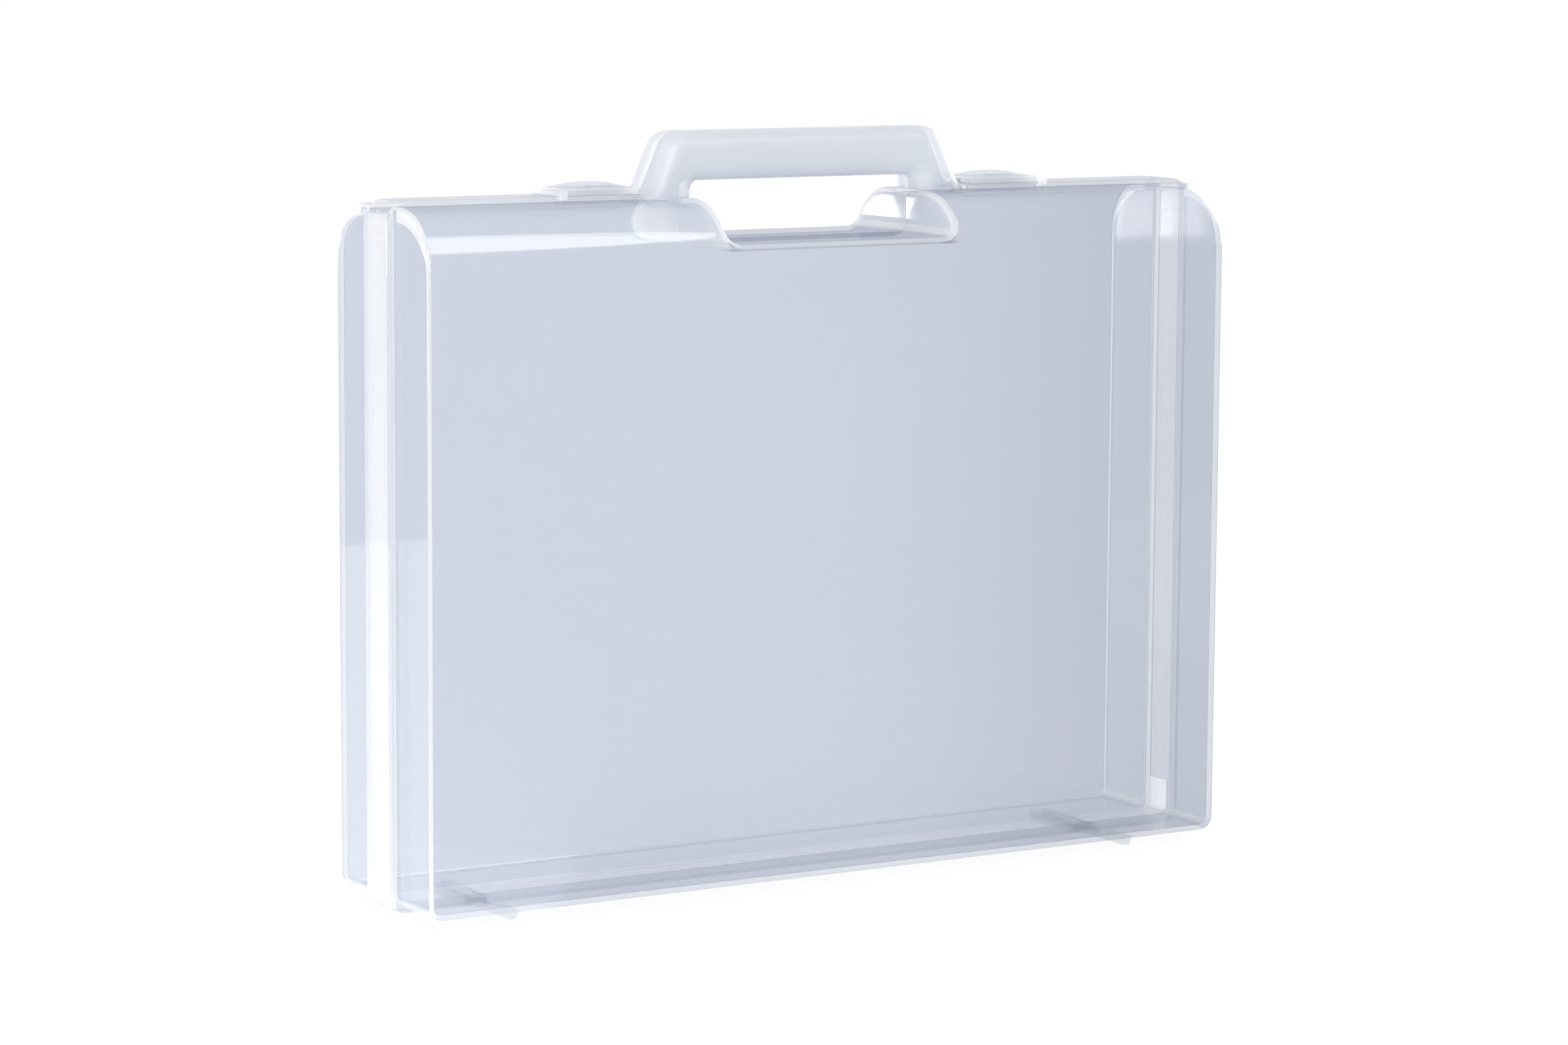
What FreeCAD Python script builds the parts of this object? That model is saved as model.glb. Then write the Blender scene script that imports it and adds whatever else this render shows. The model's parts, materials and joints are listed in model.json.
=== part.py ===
import FreeCAD, Part
import math
import os

# Carrying case of clear plastic: two shells that meet at a rim, a handle moulded in two halves,
# a hinge at each lower corner and a sliding latch on each side of the handle.
# Millimetres, +Z up, +X to the right seen from the front, front face towards -Y.
# The origin is below the middle of the case, on the surface that its hinge lugs stand on.

V = FreeCAD.Vector

# Shells
SHELL_WIDTH = 370.0
SHELL_HEIGHT = 271.0
SHELL_DEPTH = 78.0
WALL = 2.0
FRONT_ROLL = 26.0
REAR_ROLL = 22.0
FACE_EDGE = 2.2
INNER_EDGE = 1.0
BOTTOM_CORNER = 6.0
FOOT = 4.0

# Rim, where the skirt of the rear shell closes over the tongue of the front shell
RIM_PROUD = 1.8
RIM_FRONT = -10.4
RIM_REAR = 11.2
RIM_TOP_CORNER = 8.0
RIM_BOTTOM_CORNER = 6.0
SEAM = -7.4
SEAM_GAP = 0.3
SKIRT_STEP = 8.2
TONGUE_END = 4.2
TONGUE_GAP = 0.3
TONGUE_START = 20.0
PANEL_DEPTH = 0.35
PANEL_MARGIN = 14.0

# Hand gap between the case and its handle
NOTCH_HALF = 52.5
NOTCH_DEPTH = 17.0
NOTCH_CORNER = 5.0
NOTCH_LIP = 3.0

# Handle
HANDLE_TOP = 25.7
HANDLE_UNDER = 6.4
HANDLE_GAP_HALF = 53.0
HANDLE_FOOT_HALF = 76.5
HANDLE_ANKLE_HALF = 72.3
HANDLE_SHOULDER_HALF = 62.7
HANDLE_ANKLE = 4.0
HANDLE_CORNER = 9.0
HANDLE_INNER_CORNER = 4.0
HANDLE_FLARE = 8.0
HANDLE_ROOT = 20.0
HANDLE_HALF_DEPTH = 12.0
HANDLE_ROUND = 7.5
HANDLE_VALLEY = 1.2
MIDDLE_GAP = 0.3

# Hinges
LUG_X = 145.5
LUG_THICK = 3.0
LUG_END = 31.5
LUG_SLOPE = 1.8
FORK_THICK = 2.6
LUG_SIDE_GAP = 0.4
KNUCKLE_R = 1.5
PIN_R = 0.75
PIN_CLEARANCE = 0.06
POCKET_GAP = 0.4

# Latches
LATCH_INNER = 78.2
LATCH_OUTER = 110.5
CLAW_WIDTH = 3.5
CLAW_STEP = 0.8
LATCH_LIFT = 0.3
PLATE_THICK = 2.5
PLATE_REAR = 10.0
CLAW_LEG = 1.5
CLAW_GAP = 0.3
CLAW_DROP_GAP = 0.3
CLAW_WINDOW_GAP = 0.5
RAIL_INNER = 79.0
RAIL_OUTER = 109.5
RAIL_Y = 1.0
RAIL_STEM = 2.0
RAIL_HEAD = 4.0
RAIL_STEM_HEIGHT = 0.9
RAIL_HEIGHT = 1.7
DOME_RISE = 2.0
DOME_LENGTH = 28.0
DOME_DEPTH = 18.0
GRIP_LENGTH = 12.0
GRIP_DEPTH = 1.2
GRIP_RISE = 1.3

# Worked out from the sizes above
HALF = SHELL_WIDTH / 2
TOP = FOOT + SHELL_HEIGHT
FACE = SHELL_DEPTH / 2
NOTCH_FLOOR = TOP - NOTCH_DEPTH
RIM_TOP = TOP + RIM_PROUD
RIM_BOTTOM = FOOT - RIM_PROUD
RIM_END = HANDLE_FOOT_HALF + 0.2
FRONT_SEAM = SEAM - SEAM_GAP / 2
REAR_SEAM = SEAM + SEAM_GAP / 2
HINGE_Z = KNUCKLE_R
HINGE_CEILING = 2 * HINGE_Z + POCKET_GAP
FORK_INNER = LUG_THICK / 2 + LUG_SIDE_GAP
FORK_OUTER = FORK_INNER + FORK_THICK
PLATE_BOTTOM = RIM_TOP + LATCH_LIFT
PLATE_TOP = PLATE_BOTTOM + PLATE_THICK
SIDES = {"left": -1, "right": 1}
FAR = 1000.0
TINY = 0.01


def box(x0, x1, y0, y1, z0, z1):
    """Upright box between two corners, in either order along x."""
    low = min(x0, x1)
    return Part.makeBox(abs(x1 - x0), y1 - y0, z1 - z0, V(low, y0, z0))


def face_of(points):
    """Flat face inside a closed line through the points."""
    return Part.Face(Part.makePolygon(points + points[:1]))


def frame_block(inset, y0, y1, top_corner, bottom_corner):
    """Rounded upright block with the outline of the case, moved inwards by the inset."""
    half = HALF - inset
    block = box(-half, half, y0, y1, FOOT + inset, TOP - inset)
    upper = [e for e in block.Edges if runs_along_y(e) and e.CenterOfMass.z > SHELL_HEIGHT / 2]
    block = block.makeFillet(top_corner, upper)
    lower = [e for e in block.Edges if runs_along_y(e) and e.CenterOfMass.z < FOOT + inset + TINY]
    return block.makeFillet(bottom_corner, lower)


def shell_blank(roll, inset):
    """Solid front shell from its face to the middle plane, with the rolled top edge."""
    half = HALF - inset
    face = -FACE + inset
    top = TOP - inset
    bottom = FOOT + inset
    radius = roll - inset
    bend = radius * math.sqrt(0.5)
    start = V(-half, face, top - radius)
    end = V(-half, face + radius, top)
    middle = V(-half, face + radius - bend, top - radius + bend)
    outline = [
        Part.makeLine(V(-half, 0, bottom), V(-half, face, bottom)),
        Part.makeLine(V(-half, face, bottom), start),
        Part.Arc(start, middle, end).toShape(),
        Part.makeLine(end, V(-half, 0, top)),
        Part.makeLine(V(-half, 0, top), V(-half, 0, bottom)),
    ]
    blank = Part.Face(Part.Wire(outline)).extrude(V(2 * half, 0, 0))
    corners = [e for e in blank.Edges if runs_along_y(e) and abs(e.CenterOfMass.z - bottom) < TINY]
    blank = blank.makeFillet(BOTTOM_CORNER - inset, corners)
    return blank.makeFillet(edge_radius(inset), outline_edges(blank, half, face, top - radius))


def edge_radius(inset):
    """Small radius of the shell edges on the outer or an inner outline."""
    return max(FACE_EDGE - inset, INNER_EDGE)


def runs_along_y(edge):
    """True for a straight edge from front to rear."""
    ends = [v.Point for v in edge.Vertexes]
    return len(ends) == 2 and abs(abs(ends[0].y - ends[1].y) - edge.Length) < TINY


def outline_edges(blank, half, face, roll_start):
    """Edges round the flat face, up the ends of the roll and along the top of the sides."""
    chosen = []
    for edge in blank.Edges:
        ends = [v.Point for v in edge.Vertexes]
        round_face = all(abs(p.y - face) < TINY for p in ends)
        at_roll = all(abs(p.z - roll_start) < TINY for p in ends)
        one_side = abs(ends[0].x - ends[-1].x) < TINY
        up_roll = one_side and all(abs(p.x) > half - TINY and p.z > roll_start - TINY for p in ends)
        if up_roll or (round_face and not at_roll):
            chosen.append(edge)
    return chosen


def notch_block(grow):
    """Block that takes the hand gap out of the top of a shell, with rounded lower corners."""
    half = NOTCH_HALF + grow
    floor = NOTCH_FLOOR - grow
    block = box(-half, half, -FAR, FAR, floor, TOP + FAR)
    low = [e for e in block.Edges if runs_along_y(e) and abs(e.CenterOfMass.z - floor) < TINY]
    return block.makeFillet(NOTCH_CORNER + grow, low)


def notched_blank(roll):
    """Outer form of a shell with the hand gap cut and its lip rounded."""
    blank = shell_blank(roll, 0).cut(notch_block(0))
    lip = []
    for edge in blank.Edges:
        p = edge.valueAt((edge.FirstParameter + edge.LastParameter) / 2)
        in_notch = abs(p.x) < NOTCH_HALF + TINY and p.z > NOTCH_FLOOR - TINY and p.y < -TINY
        corner_line = runs_along_y(edge) and p.z < TOP - TINY
        if in_notch and not corner_line:
            lip.append(edge)
    return blank.makeFillet(NOTCH_LIP, lip)


def shell_walls(roll):
    """Thin walls of a front shell up to the middle plane."""
    inner = shell_blank(roll, WALL).cut(notch_block(WALL))
    return notched_blank(roll).cut(inner)


def ring(y0, y1, outer_inset, inner_inset):
    """Band round the case between two outlines, without the part under the handle."""
    outer_corners = (RIM_TOP_CORNER, RIM_BOTTOM_CORNER)
    inner_corners = (edge_radius(inner_inset), BOTTOM_CORNER - inner_inset)
    if outer_inset > -RIM_PROUD:
        outer_corners = (edge_radius(outer_inset), BOTTOM_CORNER - outer_inset)
    outer = frame_block(outer_inset, y0, y1, *outer_corners)
    inner = frame_block(inner_inset, y0, y1, *inner_corners)
    return outer.cut(inner).cut(handle_zone(RIM_END))


def handle_zone(half):
    """Block round the foot of the handle, where the two shells meet at the middle plane."""
    return box(-half, half, -FAR, FAR, NOTCH_FLOOR - 4 * WALL, TOP + FAR)


def mirrored(shape):
    """The same form facing the rear."""
    return shape.mirror(V(0, 0, 0), V(0, 1, 0))


def rear_shell():
    """Rear shell: walls, a solid step round the rim and the skirt that covers the seam."""
    walls = mirrored(shell_walls(REAR_ROLL))
    main = walls.common(box(-FAR, FAR, SKIRT_STEP, FAR, 0, FAR))
    zone = walls.common(handle_zone(HANDLE_FOOT_HALF)).common(box(-FAR, FAR, MIDDLE_GAP / 2, FAR, 0, FAR))
    step = ring(SKIRT_STEP, RIM_REAR, -RIM_PROUD, WALL)
    skirt = ring(REAR_SEAM, SKIRT_STEP, -RIM_PROUD, 0)
    shell = main.fuse([zone, step, skirt])
    for side in SIDES.values():
        inner = side * LUG_X - FORK_OUTER
        outer = side * LUG_X + FORK_OUTER
        shell = shell.cut(box(inner, outer, -FACE, FACE, 0, HINGE_CEILING))
        shell = shell.cut(side_panel(side))
    return shell.removeSplitter()


def side_panel(side):
    """Shallow flat panel sunk into the side of the skirt between the corners."""
    deep = side * (HALF + RIM_PROUD - PANEL_DEPTH)
    return box(deep, side * FAR, -FACE, SKIRT_STEP, RIM_BOTTOM + PANEL_MARGIN, RIM_TOP - PANEL_MARGIN)


def front_shell():
    """Front shell: walls, a narrow flange at the seam and the tongue inside the skirt."""
    walls = shell_walls(FRONT_ROLL)
    main = walls.common(box(-FAR, FAR, -FAR, FRONT_SEAM, 0, FAR))
    zone = walls.common(handle_zone(HANDLE_FOOT_HALF)).common(box(-FAR, FAR, -FAR, -MIDDLE_GAP / 2, 0, FAR))
    flange = ring(RIM_FRONT, FRONT_SEAM, -RIM_PROUD, WALL)
    tongue = ring(FRONT_SEAM - WALL, TONGUE_END, TONGUE_GAP, WALL)
    tongue = tongue.common(box(-FAR, FAR, -FAR, FAR, TONGUE_START, FAR))
    shell = main.fuse([zone, flange, tongue])
    for side in SIDES.values():
        for plate in SIDES.values():
            inner = side * LUG_X + plate * (FORK_INNER - POCKET_GAP)
            outer = side * LUG_X + plate * (FORK_OUTER + POCKET_GAP)
            shell = shell.cut(box(inner, outer, RIM_FRONT - 1, FRONT_SEAM + 1, 0, FOOT))
        window_in = side * (LATCH_OUTER - CLAW_WINDOW_GAP)
        window_out = side * (LATCH_OUTER + CLAW_WIDTH + CLAW_WINDOW_GAP)
        shell = shell.cut(box(window_in, window_out, RIM_FRONT - 1, FRONT_SEAM + 1, TOP, RIM_TOP + 1))
    return shell.removeSplitter()


def handle_arch():
    """Front half of the handle before its edges are rounded: a grip on two flared feet."""
    front = -HANDLE_HALF_DEPTH
    flare = (HANDLE_FOOT_HALF - HANDLE_ANKLE_HALF) / HANDLE_ANKLE
    right = [
        V(HANDLE_GAP_HALF, front, TOP + HANDLE_UNDER),
        V(HANDLE_GAP_HALF, front, TOP - HANDLE_ROOT),
        V(HANDLE_FOOT_HALF + flare * HANDLE_ROOT, front, TOP - HANDLE_ROOT),
        V(HANDLE_ANKLE_HALF, front, TOP + HANDLE_ANKLE),
        V(HANDLE_SHOULDER_HALF, front, TOP + HANDLE_TOP),
    ]
    left = [V(-p.x, p.y, p.z) for p in reversed(right)]
    arch = face_of(right + left).extrude(V(0, HANDLE_HALF_DEPTH - MIDDLE_GAP / 2, 0))
    bends = {HANDLE_TOP: HANDLE_CORNER, HANDLE_UNDER: HANDLE_INNER_CORNER, HANDLE_ANKLE: HANDLE_FLARE}
    for height, radius in bends.items():
        lines = [e for e in arch.Edges if runs_along_y(e) and abs(e.CenterOfMass.z - TOP - height) < TINY]
        arch = arch.makeFillet(radius, lines)
    return arch


def front_handle_half():
    """Front half of the handle, rounded towards the front, with a valley along the seam."""
    arch = handle_arch()
    arch = arch.makeFillet(HANDLE_ROUND, arch_edges(arch, -HANDLE_HALF_DEPTH))
    arch = arch.makeChamfer(HANDLE_VALLEY, arch_edges(arch, -MIDDLE_GAP / 2))
    return arch.common(box(-FAR, FAR, -FAR, FAR, TOP, TOP + FAR))


def arch_edges(arch, y):
    """Edges of the handle in one upright plane, without those across the cut feet."""
    loop = [e for e in arch.Edges if all(abs(v.Y - y) < TINY for v in e.Vertexes)]
    return [e for e in loop if any(v.Z > TOP for v in e.Vertexes)]


def knuckled(side_view, x0, x1, bore):
    """Upright plate of this side view, with a round knuckle and its bore on the hinge line."""
    plate = face_of([V(x0, y, z) for y, z in side_view]).extrude(V(x1 - x0, 0, 0))
    knuckle = Part.makeCylinder(KNUCKLE_R, x1 - x0, V(x0, 0, HINGE_Z), V(1, 0, 0))
    hole = Part.makeCylinder(bore, x1 - x0, V(x0, 0, HINGE_Z), V(1, 0, 0))
    return plate.fuse(knuckle).cut(hole).removeSplitter()


def front_hinge_lug(side):
    """Hinge plate of the front shell, loose on the pin: a fin under the shell that is also a foot."""
    knuckle_top = HINGE_Z + KNUCKLE_R
    side_view = [
        (0, 0),
        (-LUG_END, 0),
        (-LUG_END - LUG_SLOPE, FOOT),
        (RIM_FRONT, FOOT),
        (RIM_FRONT, RIM_BOTTOM),
        (FRONT_SEAM, RIM_BOTTOM),
        (FRONT_SEAM, knuckle_top),
        (0, knuckle_top),
    ]
    start = side * LUG_X - LUG_THICK / 2
    return knuckled(side_view, start, start + LUG_THICK, PIN_R + PIN_CLEARANCE)


def rear_hinge_fork(side):
    """Two hinge plates of the rear shell, one on each side of the front plate."""
    side_view = [
        (0, 0),
        (LUG_END, 0),
        (LUG_END + LUG_SLOPE, FOOT),
        (RIM_REAR, FOOT),
        (RIM_REAR, HINGE_CEILING),
        (0, HINGE_CEILING),
    ]
    left_start = side * LUG_X - FORK_OUTER
    right_start = side * LUG_X + FORK_INNER
    plates = [knuckled(side_view, start, start + FORK_THICK, PIN_R) for start in (left_start, right_start)]
    return Part.makeCompound(plates)


def hinge_pin(side):
    """Round pin through the three plates of one hinge."""
    start = side * LUG_X - FORK_OUTER
    return Part.makeCylinder(PIN_R, 2 * FORK_OUTER, V(start, 0, HINGE_Z), V(1, 0, 0))


def rail_section(side, x0, x1, gap):
    """T-shaped rail on top of the rim, grown by the gap for the groove that runs on it."""
    stem = RAIL_STEM / 2 + gap
    head = RAIL_HEAD / 2 + gap
    step = RIM_TOP + RAIL_STEM_HEIGHT - gap
    foot = box(side * x0, side * x1, RAIL_Y - stem, RAIL_Y + stem, RIM_TOP, step + gap)
    bar = box(side * x0, side * x1, RAIL_Y - head, RAIL_Y + head, step, RIM_TOP + RAIL_HEIGHT + gap)
    return foot.fuse(bar).removeSplitter()


def latch_rail(side):
    """Rail that guides one latch."""
    return rail_section(side, RAIL_INNER, RAIL_OUTER, 0)


def latch_groove(side):
    """Room for the rail under a latch."""
    return rail_section(side, LATCH_INNER - 1, LATCH_OUTER, LATCH_LIFT)


def latch_plate(side):
    """Flat slider that runs on the rail."""
    plate = box(side * LATCH_INNER, side * LATCH_OUTER, RIM_FRONT, PLATE_REAR, PLATE_BOTTOM, PLATE_TOP)
    return plate.cut(latch_groove(side))


def latch_claw(side):
    """Clamp at the outer end of a latch that reaches over the rim to the front and the rear."""
    front = RIM_FRONT - CLAW_GAP
    rear = RIM_REAR + CLAW_GAP
    inner = side * LATCH_OUTER
    outer = side * (LATCH_OUTER + CLAW_WIDTH)
    body = box(inner, outer, front - CLAW_LEG, rear + CLAW_LEG, TOP + CLAW_DROP_GAP, PLATE_TOP - CLAW_STEP)
    room = box(inner, outer, front, rear, TOP, PLATE_BOTTOM)
    return body.cut(room)


def latch_dome(side):
    """Pillow-shaped thumb rest on a latch, with a short grip bar in front of it."""
    middle = side * (LATCH_INNER + LATCH_OUTER) / 2
    centre_y = (RIM_FRONT + PLATE_REAR) / 2
    along = arched(DOME_LENGTH, DOME_RISE)
    across = arched(DOME_DEPTH, DOME_RISE)
    long_arch = Part.makeCylinder(along, FAR, V(middle, -FAR / 2, PLATE_TOP + DOME_RISE - along), V(0, 1, 0))
    cross_arch = Part.makeCylinder(across, FAR, V(-FAR / 2, centre_y, PLATE_TOP + DOME_RISE - across), V(1, 0, 0))
    half = DOME_LENGTH / 2
    room = box(middle - half, middle + half, RIM_FRONT, PLATE_REAR, PLATE_TOP, PLATE_TOP + DOME_RISE)
    dome = room.common(long_arch).common(cross_arch)
    front = centre_y - DOME_DEPTH / 2
    grip = GRIP_LENGTH / 2
    bar = box(middle - grip, middle + grip, front, front + GRIP_DEPTH, PLATE_TOP, PLATE_TOP + GRIP_RISE)
    return dome.fuse(bar).removeSplitter()


def arched(chord, rise):
    """Radius of an arc with this chord and rise."""
    return (chord ** 2 / 4 + rise ** 2) / (2 * rise)


def all_parts():
    """Every piece of the case by name."""
    parts = {
        "rear_shell": rear_shell(),
        "front_shell": front_shell(),
        "front_handle_half": front_handle_half(),
        "rear_handle_half": mirrored(front_handle_half()),
    }
    for name, side in SIDES.items():
        parts["front_hinge_lug_" + name] = front_hinge_lug(side)
        parts["rear_hinge_fork_" + name] = rear_hinge_fork(side)
        parts["hinge_pin_" + name] = hinge_pin(side)
        parts["latch_rail_" + name] = latch_rail(side)
        parts["latch_plate_" + name] = latch_plate(side)
        parts["latch_claw_" + name] = latch_claw(side)
        parts["latch_dome_" + name] = latch_dome(side)
    return parts


os.makedirs("parts", exist_ok=True)
for node, shape in all_parts().items():
    shape.exportStep("parts/" + node + ".step")
    print(node, "valid", shape.isValid(), "solids", len(shape.Solids), "volume", round(shape.Volume, 1))
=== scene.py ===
# %% [markdown]
# # A clear carrying case
# This lesson dresses a flat plastic case: two shells that close on a proud rim, a frosted handle, two
# sliding latches and small hinge plates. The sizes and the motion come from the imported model, which is
# loaded first as a fixed frame. Everything that is added later rides on one of its bodies.

# %% Load the frame
import json
import math

import bmesh
import bpy
from mathutils import Matrix, Vector
from mathutils.bvhtree import BVHTree

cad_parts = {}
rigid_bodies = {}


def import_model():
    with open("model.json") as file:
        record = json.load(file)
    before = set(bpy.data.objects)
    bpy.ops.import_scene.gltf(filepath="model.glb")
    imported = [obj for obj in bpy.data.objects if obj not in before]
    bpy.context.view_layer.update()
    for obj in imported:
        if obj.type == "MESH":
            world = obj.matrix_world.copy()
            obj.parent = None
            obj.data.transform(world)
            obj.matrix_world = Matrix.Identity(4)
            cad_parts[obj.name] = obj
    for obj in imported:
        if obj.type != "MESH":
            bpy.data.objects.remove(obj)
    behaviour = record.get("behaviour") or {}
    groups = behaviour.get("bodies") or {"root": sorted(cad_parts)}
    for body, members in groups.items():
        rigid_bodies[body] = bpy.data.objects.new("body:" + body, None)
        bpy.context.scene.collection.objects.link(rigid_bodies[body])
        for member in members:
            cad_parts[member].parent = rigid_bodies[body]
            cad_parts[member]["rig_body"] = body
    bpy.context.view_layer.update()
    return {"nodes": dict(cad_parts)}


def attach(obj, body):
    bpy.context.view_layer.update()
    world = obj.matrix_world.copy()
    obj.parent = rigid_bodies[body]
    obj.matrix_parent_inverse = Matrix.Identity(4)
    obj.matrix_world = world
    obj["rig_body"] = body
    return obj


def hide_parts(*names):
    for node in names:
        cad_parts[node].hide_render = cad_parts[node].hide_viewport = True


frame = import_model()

# %% [markdown]
# ## Where the camera stands
# The case is seen from the front left and slightly from above, with a long lens, so its edges hardly
# converge. The camera could be turned by three angles, but a matrix built from its three axes says the
# same thing without any order of turns to remember.

# %% Camera
CASE_MIDDLE = Vector((0, 0, 0.14))
CAMERA_PLACE = Vector((-0.98096, -1.58772, 0.38757))
CAMERA_AZIMUTH = math.radians(-31.594)
CAMERA_RISE = math.radians(7.507)
CAMERA_ROLL = math.radians(0.354)
LENS = 106.95
SENSOR = 36.0


def camera_axes(azimuth, rise, roll):
    """Right, up and back of a camera that looks at the case."""
    level = math.cos(rise)
    back = Vector((math.sin(azimuth) * level, -math.cos(azimuth) * level, math.sin(rise)))
    right = (-back).cross(Vector((0, 0, 1))).normalized()
    up = right.cross(-back)
    turned = math.cos(roll) * right + math.sin(roll) * up
    return turned, math.cos(roll) * up - math.sin(roll) * right, back


def turned_to(place, axes):
    """Matrix of an object at a place, with its own x, y and z along three axes."""
    return Matrix.Translation(place) @ Matrix(axes).transposed().to_4x4()


scene = bpy.context.scene
scene.view_settings.view_transform = "Standard"
camera = bpy.data.objects.new("camera", bpy.data.cameras.new("camera"))
scene.collection.objects.link(camera)
camera.matrix_world = turned_to(CAMERA_PLACE, camera_axes(CAMERA_AZIMUTH, CAMERA_RISE, CAMERA_ROLL))
camera.data.lens = LENS
camera.data.sensor_width = SENSOR
camera.data.sensor_fit = "HORIZONTAL"
camera.data.clip_start = 0.01
camera.data.clip_end = 100
scene.camera = camera
print("camera is", round(1000 * (camera.location - CASE_MIDDLE).length), "mm from the case")


# %% [markdown]
# ## A short way to write node trees
# Every finish below is a small tree of nodes. Adding a node, setting its sockets and linking it takes
# several lines each time, so one helper does it: a socket that is given as another socket is linked, and
# anything else is set as its value.

# %% Node helper
WHITE = (1, 1, 1, 1)


def add_node(tree, kind, settings=None, **sockets):
    """A node of that kind. settings are its own properties, sockets are values or links by name."""
    made = tree.nodes.new(kind)
    for name, value in (settings or {}).items():
        setattr(made, name, value)
    for name, value in sockets.items():
        spot = made.inputs[int(name[1:])] if name[1:].isdigit() else made.inputs[name.replace("_", " ")]
        if isinstance(value, bpy.types.NodeSocket):
            tree.links.new(value, spot)
        else:
            spot.default_value = value
    return made


def math_node(tree, operation, *values):
    """The result of one Math node."""
    return add_node(tree, "ShaderNodeMath", {"operation": operation},
                    **{f"_{i}": value for i, value in enumerate(values)}).outputs[0]


def blank_material(name):
    """A new material with only its output node."""
    made = bpy.data.materials.new(name)
    made.use_nodes = True
    made.node_tree.nodes.clear()
    return made, made.node_tree, made.node_tree.nodes.new("ShaderNodeOutputMaterial")


print("node helpers ready, white is", WHITE)

# %% [markdown]
# ## Studio
# The case stands in a light tent: white all round, with soft lamps. The world is white for what the
# camera, the gloss and clear plastic see, and dimmer as a lamp, so that the lamps shape the case. The
# floor is a thin white film: most of the white behind it shows through, and the rest takes the shadow. So
# the half that swings below it when the case opens can still be seen.

# %% World
WORLD_LIGHT = 0.37


def seen_directly(tree):
    """1 for rays from the camera, from gloss and through glass, and 0 for rays that only light things."""
    path = add_node(tree, "ShaderNodeLightPath").outputs
    first = math_node(tree, "MAXIMUM", path["Is Camera Ray"], path["Is Glossy Ray"])
    return math_node(tree, "MAXIMUM", first, path["Is Transmission Ray"])


world = bpy.data.worlds.new("light tent")
scene.world = world
world.use_nodes = True
tree = world.node_tree
tree.nodes.clear()
lit = add_node(tree, "ShaderNodeBackground", Color=WHITE, Strength=WORLD_LIGHT)
shown = add_node(tree, "ShaderNodeBackground", Color=WHITE, Strength=1.0)
both = add_node(tree, "ShaderNodeMixShader", _0=seen_directly(tree), _1=lit.outputs[0], _2=shown.outputs[0])
add_node(tree, "ShaderNodeOutputWorld", Surface=both.outputs[0])
print("world gives", WORLD_LIGHT, "of full light")

# %% Floor
FLOOR_HALF = 9.0
FLOOR_COLOUR = (0.95, 0.95, 0.95, 1)
FLOOR_CLEAR = 0.92
SHADOW_REACH = (0.25, 0.8)

floor_mesh = bpy.data.meshes.new("floor")
floor_corners = [(x * FLOOR_HALF, y * FLOOR_HALF, 0) for x, y in ((-1, -1), (1, -1), (1, 1), (-1, 1))]
floor_mesh.from_pydata(floor_corners, [], [(0, 1, 2, 3)])
floor = bpy.data.objects.new("floor", floor_mesh)
scene.collection.objects.link(floor)
white_floor, tree, out = blank_material("white floor")
matt = add_node(tree, "ShaderNodeBsdfDiffuse", Color=FLOOR_COLOUR)
open_white = add_node(tree, "ShaderNodeBsdfTransparent", Color=WHITE)
spot = add_node(tree, "ShaderNodeTexCoord").outputs["Object"]
away = add_node(tree, "ShaderNodeVectorMath", {"operation": "LENGTH"}, _0=spot).outputs["Value"]
clearing = add_node(tree, "ShaderNodeMapRange", {"interpolation_type": "SMOOTHSTEP"}, Value=away,
                    From_Min=SHADOW_REACH[0], From_Max=SHADOW_REACH[1], To_Min=FLOOR_CLEAR, To_Max=1.0)
share = math_node(tree, "MULTIPLY", seen_directly(tree), clearing.outputs[0])
film = add_node(tree, "ShaderNodeMixShader", _0=share, _1=matt.outputs[0], _2=open_white.outputs[0])
tree.links.new(film.outputs[0], out.inputs["Surface"])
floor_mesh.materials.append(white_floor)
print("floor is", 2 * FLOOR_HALF, "m wide")

# %% [markdown]
# ## Lamps
# Soft boxes stand on both sides and above the case. A round one over its front right is mirrored in the
# front roll, as a streak that gets thinner to the right. A card low behind the case is mirrored in the
# lower half of its side walls, and a small warm one far behind it in its upper right corner. The round
# lamp and the low card are turned so that their long side follows what mirrors them.

# %% Lamps
ROLL_MIDDLE = Vector((-0.15, -0.037, 0.262))
LAMP_COLOUR = (1.0, 0.985, 0.96)
WARM_COLOUR = (1.0, 0.94, 0.89)
CARD_TURN = math.radians(31)


def soft_lamp(name, place, size, power, aim=CASE_MIDDLE, shape="RECTANGLE", along=(1, 0, 0)):
    """A soft box of that size in metres, turned to its aim, with its width along a direction."""
    data = bpy.data.lights.new(name, "AREA")
    data.shape = shape
    data.size, data.size_y = size
    data.energy = power
    data.color = LAMP_COLOUR
    made = bpy.data.objects.new(name, data)
    scene.collection.objects.link(made)
    back = (Vector(place) - Vector(aim)).normalized()
    wide = Vector(along) - back * back.dot(Vector(along))
    wide.normalize()
    made.matrix_world = turned_to(place, (wide, back.cross(wide), back))
    return made


soft_lamp("key_box", (-0.9, -1.1, 0.9), (0.7, 0.7), 11)
soft_lamp("left_box", (-1.5, 0.1, 0.5), (0.9, 0.9), 8.5, along=(0, 1, 0))
soft_lamp("right_box", (1.5, 0.35, 0.6), (0.8, 0.8), 23, along=(0, 1, 0))
top_box = soft_lamp("top_box", (0.0, 0.2, 1.6), (2.0, 1.6), 12)
top_box.visible_glossy = False
soft_lamp("roll_lamp", (0.53, -0.89, 1.5), (0.54, 0.88), 4.8, aim=ROLL_MIDDLE, shape="ELLIPSE")
low_card = soft_lamp("low_card", (-0.45, 0.42, 0.004), (0.62, 1.12), 1.7, aim=(-0.45, 0.42, 1.0),
                     shape="ELLIPSE", along=(math.cos(CARD_TURN), math.sin(CARD_TURN), 0))
low_card.visible_camera = False
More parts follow.
